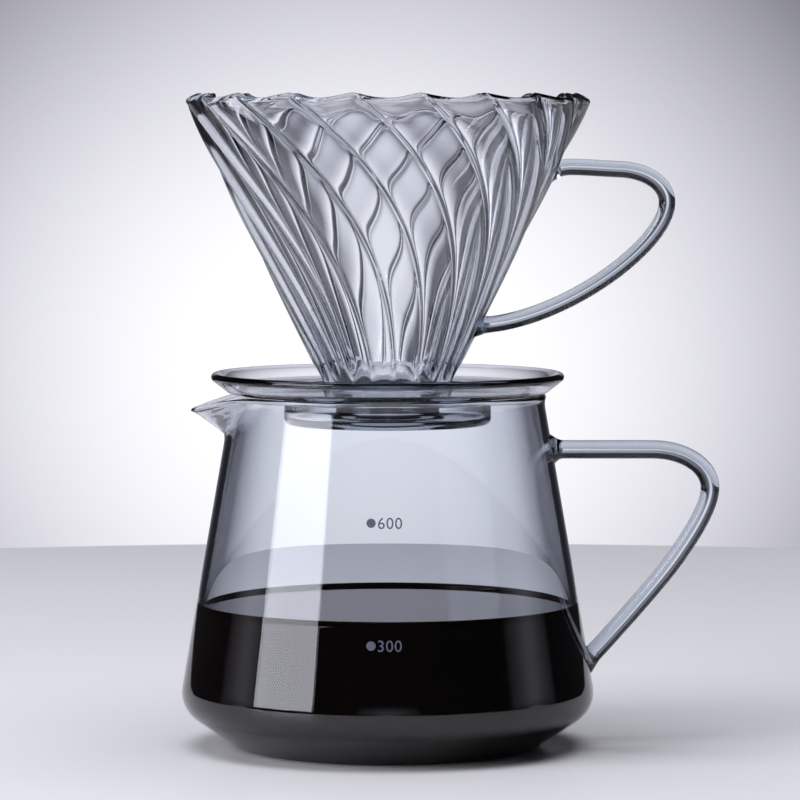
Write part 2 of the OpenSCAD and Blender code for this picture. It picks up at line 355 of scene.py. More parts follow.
class SharedGroups:
    """The shader groups that several finishes place, each built once."""

    def __init__(self) -> None:
        """Builds the groups."""
        self.marks = handling_marks()
        self.ripple = hand_ripple()


def new_material(name: str) -> tuple[bpy.types.Material, bpy.types.Node, bpy.types.Node]:
    """A material with its surface shader and its coordinates.

    Args:
        name: The material's name.

    Returns:
        The material, its Principled shader and its Texture Coordinate node.
    """
    material = bpy.data.materials.new(name)
    material.use_nodes = True
    nodes = material.node_tree.nodes
    return material, nodes["Principled BSDF"], nodes.new("ShaderNodeTexCoord")


def placed(material: bpy.types.Material, group: bpy.types.NodeTree, where: bpy.types.NodeSocket,
           values: dict[str, float]) -> bpy.types.Node:
    """Places a shared group in a material.

    Args:
        material: The material.
        group: The group.
        where: The coordinates that it reads.
        values: This material's own values for the group's inputs.

    Returns:
        The group's node.
    """
    node = material.node_tree.nodes.new("ShaderNodeGroup")
    node.node_tree = group
    material.node_tree.links.new(where, node.inputs["Place"])
    for label, value in values.items():
        node.inputs[label].default_value = value
    return node


def mottle(material: bpy.types.Material, place: bpy.types.Node, size: float) -> bpy.types.NodeSocket:
    """Adds a cloudy pattern to a material.

    Args:
        material: The material.
        place: Its Texture Coordinate node.
        size: How fine the pattern is.

    Returns:
        The pattern's value.
    """
    noise = material.node_tree.nodes.new("ShaderNodeTexNoise")
    noise.inputs["Scale"].default_value = size
    material.node_tree.links.new(place.outputs["Object"], noise.inputs["Vector"])
    return noise.outputs["Fac"]


def blended(tree: bpy.types.NodeTree, share: bpy.types.NodeSocket, first: Tone,
            second: Tone) -> bpy.types.NodeSocket:
    """Blends two colours.

    Args:
        tree: The node tree.
        share: How much of the second colour there is.
        first: The first colour.
        second: The second colour.

    Returns:
        The blend.
    """
    mix = tree.nodes.new("ShaderNodeMix")
    mix.data_type = "RGBA"
    mix.inputs["A"].default_value = (*first, 1.0)
    mix.inputs["B"].default_value = (*second, 1.0)
    tree.links.new(share, mix.inputs["Factor"])
    return mix.outputs["Result"]


@dataclass(frozen=True)
class SmokedGlass:
    """Clear borosilicate glass with a smoke-grey tint in its depth."""

    name: str = "smoke_grey_glass"
    bend: float = 1.47
    smoke: Tone = (0.30, 0.42, 0.54)
    density: float = 100.0
    ripple_size: float = 26.0
    ripple: float = 0.04
    ripple_depth: float = 0.4 * MM
    smeared: float = 0.02
    clear_tone: Tone = (0.985, 0.985, 0.995)
    grey_tone: Tone = (0.955, 0.96, 0.985)
    tone_size: float = 18.0

    def build(self, groups: SharedGroups) -> bpy.types.Material:
        """Makes the material.

        Args:
            groups: The shared shader groups.

        Returns:
            The material.
        """
        material, shader, place = new_material(self.name)
        nodes, links = material.node_tree.nodes, material.node_tree.links
        shader.inputs["Transmission Weight"].default_value = 1.0
        shader.inputs["IOR"].default_value = self.bend
        cloud = mottle(material, place, self.tone_size)
        tint = blended(material.node_tree, cloud, self.clear_tone, self.grey_tone)
        links.new(tint, shader.inputs["Base Color"])
        marks = placed(material, groups.marks, place.outputs["Object"], {"Smeared": self.smeared})
        links.new(marks.outputs["Roughness"], shader.inputs["Roughness"])
        ripple = placed(
            material, groups.ripple, place.outputs["Object"],
            {"Ripple size": self.ripple_size, "Strength": self.ripple, "Depth": self.ripple_depth},
        )
        links.new(ripple.outputs["Normal"], shader.inputs["Normal"])
        depth = nodes.new("ShaderNodeVolumeAbsorption")
        depth.inputs["Color"].default_value = (*self.smoke, 1.0)
        depth.inputs["Density"].default_value = self.density
        links.new(depth.outputs["Volume"], nodes["Material Output"].inputs["Volume"])
        return material


@dataclass(frozen=True)
class BlackCoffee:
    """Filter coffee, near black, with a warm brown edge where it thins out."""

    name: str = "black_coffee"
    deep: Tone = (0.004, 0.0018, 0.0012)
    thin: Tone = (0.05, 0.014, 0.004)
    bend: float = 1.34
    edge_start: float = 0.1 * MM
    edge_end: float = 1.2 * MM
    swirl_size: float = 45.0
    swirl_share: float = 0.12

    def build(self, groups: SharedGroups, surface_z: float) -> bpy.types.Material:
        """Makes the material.

        Args:
            groups: The shared shader groups.
            surface_z: Height of the coffee's surface.

        Returns:
            The material.
        """
        material, shader, place = new_material(self.name)
        nodes, links = material.node_tree.nodes, material.node_tree.links
        shader.inputs["IOR"].default_value = self.bend
        split = nodes.new("ShaderNodeSeparateXYZ")
        skin = nodes.new("ShaderNodeMapRange")
        skin.inputs["From Min"].default_value = surface_z + self.edge_start
        skin.inputs["From Max"].default_value = surface_z + self.edge_end
        blend = nodes.new("ShaderNodeMath")
        blend.operation = "MULTIPLY_ADD"
        blend.inputs[1].default_value = self.swirl_share
        links.new(place.outputs["Object"], split.inputs["Vector"])
        links.new(split.outputs["Z"], skin.inputs["Value"])
        links.new(mottle(material, place, self.swirl_size), blend.inputs[0])
        links.new(skin.outputs["Result"], blend.inputs[2])
        colour = blended(material.node_tree, blend.outputs["Value"], self.deep, self.thin)
        links.new(colour, shader.inputs["Base Color"])
        marks = placed(
            material, groups.marks, place.outputs["Object"],
            {"Smear size": 60.0, "Clean": 0.02, "Smeared": 0.06},
        )
        links.new(marks.outputs["Roughness"], shader.inputs["Roughness"])
        ripple = placed(
            material, groups.ripple, place.outputs["Object"],
            {"Ripple size": 20.0, "Strength": 0.05, "Depth": 0.0002},
        )
        links.new(ripple.outputs["Normal"], shader.inputs["Normal"])
        return material


@dataclass(frozen=True)
class FiredEnamel:
    """Grey enamel, screen printed and fired, with a slightly grainy face."""

    name: str = "fired_enamel"
    pale: Tone = (0.13, 0.14, 0.19)
    dark: Tone = (0.085, 0.09, 0.13)
    grain_size: float = 2500.0
    smoothest: float = 0.28
    roughest: float = 0.45

    def build(self) -> bpy.types.Material:
        """Makes the material.

        Returns:
            The material.
        """
        material, shader, place = new_material(self.name)
        nodes, links = material.node_tree.nodes, material.node_tree.links
        grain = mottle(material, place, self.grain_size)
        colour = blended(material.node_tree, grain, self.pale, self.dark)
        sheen = nodes.new("ShaderNodeMapRange")
        sheen.inputs["To Min"].default_value = self.smoothest
        sheen.inputs["To Max"].default_value = self.roughest
        links.new(colour, shader.inputs["Base Color"])
        links.new(grain, sheen.inputs["Value"])
        links.new(sheen.outputs["Result"], shader.inputs["Roughness"])
        return material


@dataclass(frozen=True)
class PaleTable:
    """The studio's pale table top."""

    name: str = "pale_table"
    dim: Tone = (0.83, 0.83, 0.845)
    pale: Tone = (0.87, 0.87, 0.88)
    cloud_size: float = 6.0
    roughness: float = 0.38

    def build(self) -> bpy.types.Material:
        """Makes the material.

        Returns:
            The material.
        """
        material, shader, place = new_material(self.name)
        shader.inputs["Roughness"].default_value = self.roughness
        cloud = mottle(material, place, self.cloud_size)
        colour = blended(material.node_tree, cloud, self.dim, self.pale)
        material.node_tree.links.new(colour, shader.inputs["Base Color"])
        return material


# ---- glass rods ----


@dataclass
class RodHandle:
    """A bent glass rod whose ends flare where they are fused to a wall."""

    name: str
    body: Body
    replaced: list[str]
    curves: list[list[Vector]]
    radius: float
    wall_facing: tuple[float, float]
    flare: tuple[float, float]
    flare_len: float = 4.6 * MM
    flare_curve: float = 1.6
    end_turn: float = 0.85
    least_square: float = 0.55
    sides: int = 96
    steps: int = 44

    def centreline(self) -> list[Vector]:
        """The rod's centre points from its upper to its lower end.

        Returns:
            The points.
        """
        points = [self.curves[0][0]]
        for curve in self.curves:
            points += [bezier(curve, k / self.steps) for k in range(1, self.steps + 1)]
        return points

    def rings(self) -> list[Ring]:
        """The rings along the rod, spread and turned to the wall at each end.

        Returns:
            The rings.
        """
        points = self.centreline()
        count = len(points)
        along = [0.0]
        for a, b in zip(points, points[1:]):
            along.append(along[-1] + (b - a).length)
        rings = []
        for i, point in enumerate(points):
            heading = (points[min(i + 1, count - 1)] - points[max(i - 1, 0)]).normalized()
            near_start = along[i] < along[-1] / 2
            end = 0 if near_start else 1
            gap = along[i] if near_start else along[-1] - along[i]
            share = 1 - smooth(gap / self.flare_len)
            lean = math.radians(self.wall_facing[end])
            outward = Vector((math.cos(lean), 0.0, math.sin(lean)))
            facing = outward if near_start else -outward
            turned = heading.lerp(facing, share * self.end_turn).normalized()
            spread = self.flare[end] * share**self.flare_curve
            stretch = 1 / max(heading.dot(turned), self.least_square)
            rings.append(Ring(point, turned, self.radius + spread, self.radius * stretch + spread))
        return rings

    def build(self, material: bpy.types.Material) -> bpy.types.Object:
        """Makes the rod.

        Args:
            material: The glass.

        Returns:
            The finished piece.
        """
        bm = lofted(self.rings(), self.sides)
        return finished(bm, self.name, self.body, material, self.replaced)


# ---- server ----


@dataclass
class Server:
    """The range server: its body, rod handle, enamel marks and coffee."""

    foot_r: float = 43.6 * MM
    belly_r: float = 61.0 * MM
    belly_z: float = 11.6 * MM
    belly_round: float = 9.0 * MM
    foot_round: float = 2.5 * MM
    neck_r: float = 45.7 * MM
    lip_r: float = 46.1 * MM
    lip_h: float = 2.8 * MM
    wall: float = 2.0 * MM
    floor: float = 3.0 * MM
    spout_depth: float = 13.0 * MM
    spout_drop: float = 4.4 * MM
    spout_start: float = 0.16
    spout_fall: float = 2.2
    beak_soft: float = 2.4
    beak_shift: float = 1.6
    neck_round: float = 6.0 * MM
    inner_neck_round: float = 8.0 * MM
    inner_foot_round: float = 4.0 * MM
    longest_face: float = 2.0 * MM
    rod_r: float = 2.7 * MM
    rod_sunk: float = 0.55
    handle_top_z: float = 86.6 * MM
    handle_low_z: float = 24.4 * MM
    shoulder_in: float = 17.0 * MM
    elbow_drop: float = 11.4 * MM
    leg_in: float = 10.3 * MM
    leg_rise: float = 30.1 * MM
    leg_slope: float = 54.7
    wetting: float = -0.12 * MM
    climb: float = 1.0 * MM
    meniscus_w: float = 2.4 * MM
    coffee_steps: int = 14
    cap_height: float = 0.71
    letter_gap: float = 1.08
    print_t: float = 0.06 * MM
    dot_r: float = 1.3 * MM
    dot_share: float = 0.29
    steps: int = 20
    rim_z: float = field(default_factory=lambda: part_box("server_body")[1].z)
    spout_x: float = field(default_factory=lambda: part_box("server_body")[0].x + 2.2 * MM)
    handle_x: float = field(default_factory=lambda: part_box("server_handle")[1].x)
    coffee_z: float = field(default_factory=lambda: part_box("coffee")[1].z)

    def side_r(self, z: float) -> float:
        """Outer radius of the straight side wall at a height."""
        rise = self.rim_z - self.lip_h - self.belly_z
        return self.belly_r - (z - self.belly_z) * (self.belly_r - self.neck_r) / rise

    def inner_corners(self, clearance: float) -> list[Vector]:
        """Corners of the wall's inside, from the floor to the neck.

        Args:
            clearance: How far inside the wall's own surface they lie.

        Returns:
            The corners.
        """
        side = math.atan2(self.belly_r - self.neck_r, self.rim_z - self.lip_h - self.belly_z)
        chamfer = math.atan2(self.belly_z, self.belly_r - self.foot_r)
        inset = self.wall + clearance
        half = (math.pi / 2 + side - chamfer) / 2
        reach = inset / math.cos(half)
        turn = chamfer + half + math.pi / 2
        belly = Vector((self.belly_r, self.belly_z))
        belly += reach * Vector((math.cos(turn), math.sin(turn)))
        low_z = self.floor + clearance
        foot = Vector((belly.x - (belly.y - low_z) / math.tan(chamfer), low_z))
        neck = Vector((self.neck_r - inset / math.cos(side), self.rim_z - self.lip_h))
        return [Vector((0.0, low_z)), foot, belly, neck]

    def outline(self) -> list[Vector]:
        """The body's outline, from under the foot over the rim to the floor.

        Returns:
            The outline's points.
        """
        rim = Vector((self.lip_r - self.wall / 2, self.rim_z - self.wall / 2))
        outside = rounded(
            [Vector((0.0, 0.0)), Vector((self.foot_r, 0.0)), Vector((self.belly_r, self.belly_z)),
             Vector((self.neck_r, self.rim_z - self.lip_h)), rim + Vector((self.wall / 2, 0.0))],
            [0, self.foot_round, self.belly_round, self.neck_round, 0],
        )
        inside = rounded(
            self.inner_corners(0.0) + [rim - Vector((self.wall / 2, 0.0))],
            [0, self.inner_foot_round, self.belly_round - self.wall, self.inner_neck_round, 0],
        )
        return self.fine(outside[:-1] + arc(rim, self.wall / 2, 0, 180, 10) + inside[-2::-1])

    def fine(self, outline: list[Vector]) -> list[Vector]:
        """Divides an outline's long stretches, for an even mesh.

        Args:
            outline: The outline's points.

        Returns:
            The outline, with no stretch longer than longest_face.
        """
        points: list[Vector] = []
        for a, b in zip(outline, outline[1:]):
            points += divided(a, b, max(1, math.ceil((b - a).length / self.longest_face)))
        return points + [outline[-1]]

    def pulled(self, co: Vector) -> Vector:
        """Where pulling the spout takes a point of the wall.

        The soft rim is drawn out to a beak: its edge runs in straight lines
        from the round rim to the tip, and lower down the beak narrows.

        Args:
            co: The point on the round wall.

        Returns:
            The point's new place.
        """
        share = (co.z - self.rim_z + self.spout_depth) / (self.spout_depth - self.wall / 2)
        share = min(share, 1.0)
        radius = math.hypot(co.x, co.y)
        if share <= 0 or radius < 1 * MM:
            return co
        soft = self.spout_start
        pull = share * share / (2 * soft) if share < soft else share - soft / 2
        pull /= 1 - soft / 2
        reach = (-self.spout_x - self.lip_r) * pull
        width = math.acos(self.lip_r / (self.lip_r + reach))
        off = abs(math.atan2(co.y, -co.x))
        off = math.hypot(off, math.radians(self.beak_soft)) - math.radians(self.beak_shift)
        if off >= width:
            return co
        grow = self.lip_r / math.cos(width - off) - self.lip_r
        fall = self.spout_drop * pull * (1 - off / width) ** self.spout_fall
        outer = radius + grow
        return Vector((co.x * outer / radius, co.y * outer / radius, co.z - fall))

    def build_body(self, glass: bpy.types.Material) -> bpy.types.Object:
        """Makes the blown body with its spout.

        Args:
            glass: The glass.

        Returns:
            The finished piece.
        """
        bm = spun(self.outline(), self.steps, closed=False)
        moved(bm, self.pulled)
        return finished(bm, "server_glass", Body.SERVER, glass, ["server_body"])

    def build_handle(self, glass: bpy.types.Material) -> bpy.types.Object:
        """Makes the rod handle.

        Args:
            glass: The glass.

        Returns:
            The finished piece.
        """
        reach = self.handle_x - self.rod_r
        sunk = self.wall * self.rod_sunk
        top = Vector((self.side_r(self.handle_top_z) - sunk, 0, self.handle_top_z))
        low = Vector((self.side_r(self.handle_low_z) - sunk, 0, self.handle_low_z))
        shoulder = Vector((reach - self.shoulder_in, 0, top.z))
        elbow = Vector((reach, 0, top.z - self.elbow_drop))
        leg = Vector((reach - self.leg_in, 0, low.z + self.leg_rise))
        slope = math.radians(self.leg_slope)
        down = Vector((-math.cos(slope), 0, -math.sin(slope)))
        # Each curve runs between two of these places, with the two points that bend it.
        curves = [
            [top, top.lerp(shoulder, 0.33), top.lerp(shoulder, 0.67), shoulder],
            [shoulder, shoulder + Vector((9.5 * MM, 0, 0)), elbow + Vector((0, 0, 6.6 * MM)), elbow],
            [elbow, elbow - Vector((0, 0, 5.7 * MM)), leg - down * 7 * MM, leg],
            [leg, leg + down * 9 * MM, low + Vector((5.0 * MM, 0, 5.2 * MM)), low],
        ]
        rod = RodHandle(
            "server_handle_rod", Body.SERVER,
            ["server_handle", "server_handle_top_weld", "server_handle_bottom_weld"],
            curves, self.rod_r, (9.8, 9.8), (2.1 * MM, 1.2 * MM),
        )
        return rod.build(glass)

    def build_coffee(self, coffee: bpy.types.Material) -> bpy.types.Object:
        """Makes the coffee, wetting the glass, with its edge climbing the wall.

        Args:
            coffee: The coffee's material.

        Returns:
            The finished piece.
        """
        corners = self.inner_corners(self.wetting)
        slope = (corners[2].x - corners[3].x) / (corners[3].y - corners[2].y)
        edge_z = self.coffee_z + self.climb
        edge = Vector((corners[2].x - (edge_z - corners[2].y) * slope, edge_z))
        level = Vector((edge.x - self.meniscus_w, self.coffee_z))
        radii = [0, self.inner_foot_round, self.belly_round - self.wall, 0]
        bottom = rounded(corners[:3] + [edge], radii)
        meniscus = [bezier([edge, edge + Vector((-0.2 * MM, -0.8 * MM)),
                            level + Vector((1.0 * MM, 0)), level], k / 8) for k in range(1, 9)]
        outline = self.fine(bottom + meniscus + [Vector((0.0, self.coffee_z))])
        bm = spun(outline, self.coffee_steps, closed=False)
        return finished(bm, "coffee_fill", Body.SERVER, coffee, ["coffee"])

    def build_mark(self, digits: str, enamel: bpy.types.Material) -> bpy.types.Object:
        """Prints a dot and its volume on the front of the wall.

        Args:
            digits: The volume in millilitres.
            enamel: The enamel.

        Returns:
            The finished piece.
        """
        node = f"mark_{digits}"
        low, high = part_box(node)
        height = high.z - low.z
        letters = bpy.data.curves.new(f"digits_{digits}", "FONT")
        letters.body = digits
        letters.size = height / self.cap_height
        letters.space_character = self.letter_gap
        letters.extrude = self.print_t
        letters.resolution_u = 6
        flat = bpy.data.objects.new("flat_digits", letters)
        bpy.context.scene.collection.objects.link(flat)
        bpy.context.view_layer.update()
        bm = bmesh.new()
        bm.from_mesh(flat.to_mesh())
        flat.to_mesh_clear()
        bpy.data.objects.remove(flat)
        bmesh.ops.remove_doubles(bm, verts=bm.verts, dist=1e-7)
        left = min(v.co.x for v in bm.verts)
        bottom = min(v.co.y for v in bm.verts)
        first_x = low.x + (high.x - low.x) * self.dot_share
        moved(bm, lambda co: co + Vector((first_x - left, low.z - bottom, 0)))
        dot = bmesh.ops.create_circle(bm, cap_ends=True, segments=40, radius=self.dot_r)
        disc = list({f for v in dot["verts"] for f in v.link_faces})
        up = Vector((0, 0, self.print_t))
        thick = bmesh.ops.extrude_face_region(bm, geom=disc)
        raised = [v for v in thick["geom"] if isinstance(v, bmesh.types.BMVert)]
        bmesh.ops.translate(bm, verts=raised, vec=up * 2)
        round_dot = list({*dot["verts"], *raised})
        centre = Vector((low.x + self.dot_r, (low.z + high.z) / 2, -up.z))
        bmesh.ops.translate(bm, verts=round_dot, vec=centre)
        bmesh.ops.triangulate(bm, faces=bm.faces)
        moved(bm, self.printed)
        bmesh.ops.recalc_face_normals(bm, faces=bm.faces)
        return finished(
            bm, f"print_{digits}", Body.SERVER, enamel, [node], rounded_off=False,
        )

    def printed(self, co: Vector) -> Vector:
        """Wraps a point of a flat print round the front of the wall.

        Args:
            co: A point with x across, y up and z through the enamel.

        Returns:
            The point on the wall.
        """
        radius = self.side_r(co.y) + 0.05 * MM + co.z
        return Vector((co.x, -math.sqrt(radius**2 - co.x**2), co.y))


# ---- dripper ----


@dataclass
class Dripper:
    """The fluted cone with its saucer, foot bead and rod handle."""

    top_r: float = 58.3 * MM
    foot_r: float = 13.7 * MM
    wall: float = 2.3 * MM
    rim_bead: float = 2.5 * MM
    flutes: int = 18
    flute_depth: float = 1.5 * MM
    crease_soft: float = 0.2
    inner_soft: float = 0.1
    flute_start: float = 4.0 * MM
    flute_run: float = 7.0 * MM
    swirl: float = 57.0
    cone_h: float = 86.35 * MM
    cup_depth: float = 9.2 * MM
    cup_r: float = 30.1 * MM
    cup_round: float = 2.0 * MM
    saucer_t: float = 2.2 * MM
    lip_r: float = 46.1 * MM
    roll_r: float = 1.25 * MM
    bead_w: float = 3.0 * MM
    bead_rise: float = 0.9
    bead_sunk: float = 0.25 * MM
    rim_swell: float = 1.05
    rim_run: float = 3.0 * MM
    roll_tilt: float = 50.0
    seat_round: float = 0.5 * MM
    edge_round: float = 2.5 * MM
    dish_round: float = 2.0 * MM
    cup_inner_round: float = 1.0 * MM
    dish_in: float = 0.8 * MM
    rod_r: float = 2.4 * MM
    rod_sunk: float = 0.5
    handle_top_z: float = 64.3 * MM
    handle_low_z: float = 19.7 * MM
    rod_rise: float = 1.4 * MM
    rod_start: float = 6.5 * MM
    shoulder_in: float = 13.2 * MM
    shoulder_drop: float = 0.7 * MM
    elbow_drop: float = 10.3 * MM
    steps_per_flute: int = 22
    levels: int = 66
    cup_floor_z: float = field(default_factory=lambda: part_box("stepped_saucer")[0].z)
    saucer_r: float = field(default_factory=lambda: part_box("stepped_saucer")[1].x)
    saucer_top_z: float = field(default_factory=lambda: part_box("stepped_saucer")[1].z)
    handle_x: float = field(default_factory=lambda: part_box("dripper_handle")[1].x)

    def __post_init__(self) -> None:
        """Works out the heights that the pieces share."""
        self.seat_z = self.cup_floor_z + self.cup_depth
        self.foot_z = self.cup_floor_z + self.saucer_t
        self.top_z = self.seat_z + self.cone_h
        self.lean = math.atan2(self.top_r - self.foot_r, self.top_z - self.foot_z)

    def share(self, z: float) -> float:
        """Share of the cone's height at z, 0 at the foot."""
        return (z - self.foot_z) / (self.top_z - self.foot_z)

    def mean_r(self, z: float) -> float:
        """Mean outer radius of the cone at z."""
        return self.foot_r + (self.top_r - self.foot_r) * self.share(z)

    def fluted(self, co: Vector) -> Vector:
        """Where the fluting mould takes a point of the plain cone.

        Round pillows meet in narrow creases. They move the wall square to
        itself, so that the creases lift the rim a little, and the inside
        follows the outside with creases a little sharper.

        Args:
            co: The point on the plain cone.

        Returns:
            The point's new place.
        """
        radius = math.hypot(co.x, co.y)
        angle = math.atan2(co.y, co.x)
        inset = min(max((self.mean_r(co.z) - radius) / self.wall, 0.0), 1.0)
        soft = self.crease_soft + (self.inner_soft - self.crease_soft) * inset
        fade = smooth((co.z - self.seat_z - self.flute_start) / self.flute_run)
        depth = self.flute_depth * self.mean_r(co.z) / self.top_r * fade
        arch = math.hypot(math.sin(self.flutes * angle / 2), soft)
        highest = math.hypot(1.0, soft)
        push = depth * (1 - 2 * (highest - arch) / (highest - self.crease_soft))
        turn = angle + math.radians(self.swirl) * (1 - max(self.share(co.z), 0.0) ** 2)
        radius += push * math.cos(self.lean)
        return Vector((radius * math.cos(turn), radius * math.sin(turn),
                       co.z - push * math.sin(self.lean)))

    def cone_outline(self) -> list[Vector]:
        """The plain cone's wall: up the outside, round the rim, down the inside.

        Returns:
            The outline's points.
        """
        bead = self.rim_bead / 2
        shoulder = self.top_z - bead
        zs = [self.foot_z + (shoulder - self.rim_run - self.foot_z) * k / self.levels
              for k in range(self.levels + 1)]
        zs += [shoulder - 2 * MM, shoulder - 1.2 * MM, shoulder - 0.5 * MM]
        swell = self.rim_bead * self.rim_swell - self.wall
        thick = [self.wall + swell * smooth((z - shoulder) / self.rim_run + 1) for z in zs]
        outside = [Vector((self.mean_r(z), z)) for z in zs]
        inside = [Vector((self.mean_r(z) - t, z)) for z, t in zip(zs, thick)]
        round_r = bead * self.rim_swell
        middle = Vector((self.mean_r(shoulder) - round_r, shoulder))
        over = arc(middle, round_r, 0, 180, 12)
        return outside + over + inside[::-1]

    def build_cone(self, glass: bpy.types.Material) -> bpy.types.Object:
        """Makes the fluted cone.

        Args:
            glass: The glass.

        Returns:
            The finished piece.
        """
        outline = self.cone_outline()
        across = divided(outline[-1], outline[0], 4)[1:]
        bm = spun(outline + across, self.steps_per_flute, closed=True)
        moved(bm, self.fluted)
        return finished(bm, "fluted_cone", Body.DRIPPER, glass, ["cone_shell"])

    def build_bead(self, glass: bpy.types.Material) -> bpy.types.Object:
        """Makes the bead that fuses the cone's foot into the saucer's cup.

        Args:
            glass: The glass.

        Returns:
            The finished piece.
        """
        sunk = self.bead_sunk
        rise = self.bead_w * self.bead_rise
        top = Vector((self.mean_r(self.foot_z + rise), self.foot_z + rise))
        base = Vector((self.foot_r + self.bead_w, self.foot_z))
        hollow = [bezier([base, Vector((top.x + 0.8 * MM, base.y + 0.1 * MM)),
                          Vector((top.x + 0.1 * MM, base.y + 0.9 * MM)), top], k / 10)
                  for k in range(11)]
        back = [Vector((top.x - sunk, top.y)), Vector((self.foot_r - sunk, self.foot_z - sunk)),
                Vector((base.x, self.foot_z - sunk))]
        bm = spun(hollow + back, 10, closed=True)
        return finished(bm, "foot_bead", Body.DRIPPER, glass, ["foot_weld"])

    def build_saucer(self, glass: bpy.types.Material) -> bpy.types.Object:
        """Makes the saucer with its rolled edge and its sunk cup.

        Args:
            glass: The glass.

        Returns:
            The finished piece.
        """
        roll = Vector((self.saucer_r - self.roll_r, self.saucer_top_z - self.roll_r))
        tilt = self.roll_tilt
        under = Vector((math.cos(math.radians(-tilt)), math.sin(math.radians(-tilt)))) * self.roll_r
        top = self.seat_z + self.saucer_t
        cup_in = self.cup_r - self.saucer_t
        hole = self.foot_r - self.wall
        below = rounded(
            [Vector((hole, self.cup_floor_z)), Vector((self.cup_r, self.cup_floor_z)),
             Vector((self.cup_r, self.seat_z)), Vector((self.lip_r, self.seat_z)), roll + under],
            [0, self.cup_round, self.seat_round, self.edge_round, 0],
        )
        above = rounded(
            [roll - under, Vector((self.lip_r - self.dish_in, top)), Vector((cup_in, top)),
             Vector((cup_in, self.foot_z)), Vector((hole, self.foot_z))],
            [0, self.dish_round, self.cup_inner_round, self.cup_inner_round, 0],
        )
        edge = arc(roll, self.roll_r, -tilt, 180 - tilt, 16)[1:-1]
        bm = spun(below + edge + above, 16, closed=True)
        return finished(bm, "sunk_saucer", Body.DRIPPER, glass, ["stepped_saucer"])

    def build_handle(self, glass: bpy.types.Material) -> bpy.types.Object:
        """Makes the rod handle.

        Args:
            glass: The glass.

        Returns:
            The finished piece.
        """
        reach = self.handle_x - self.rod_r
        sunk = self.wall * self.rod_sunk
        top_z = self.seat_z + self.handle_top_z
        low_z = self.seat_z + self.handle_low_z
        top = Vector((self.mean_r(top_z) - sunk, 0, top_z))
        low = Vector((self.mean_r(low_z) - sunk, 0, low_z))
        level = top.z + self.rod_rise
        shoulder = Vector((reach - self.shoulder_in, 0, level - self.shoulder_drop))
        elbow = Vector((reach, 0, level - self.elbow_drop))
        start = Vector((top.x + self.rod_start, 0, level))
        # Each curve runs between two of these places, with the two points that bend it.
        curves = [
            [top, top + Vector((2.4 * MM, 0, 0.8 * MM)), start - Vector((2 * MM, 0, 0)), start],
            [start, start + Vector((4 * MM, 0, 0)),
             shoulder - Vector((5 * MM, 0, -0.2 * MM)), shoulder],
            [shoulder, shoulder + Vector((7.5 * MM, 0, -0.5 * MM)),
             elbow + Vector((0, 0, 5.3 * MM)), elbow],
            [elbow, elbow - Vector((0, 0, 12.5 * MM)), low + Vector((24 * MM, 0, 0)), low],
        ]
        wall = -math.degrees(self.lean)
        rod = RodHandle(
            "dripper_handle_rod", Body.DRIPPER,
            ["dripper_handle", "dripper_handle_top_weld", "dripper_handle_bottom_weld"],
            curves, self.rod_r, (wall, wall), (1.7 * MM, 1.5 * MM),
        )
        return rod.build(glass)


# ---- studio ----


@dataclass(frozen=True)
class Softbox:
    """A softbox that faces the object: where it hangs, its face and its brightness.

    The azimuth is in degrees to the left of the camera, seen from the object.
    """

    name: str
    azimuth: float
    elevation: float
    distance: float
    size: tuple[float, float]
    radiance: float
    colour: Tone = (0.93, 0.93, 1.0)
    aim_z: float = 60 * MM


@dataclass(frozen=True)
class Glow:
    """A soft pool of light on the backdrop, in degrees above the horizon and aside."""

    centre: float
    wide: float
    tall: float


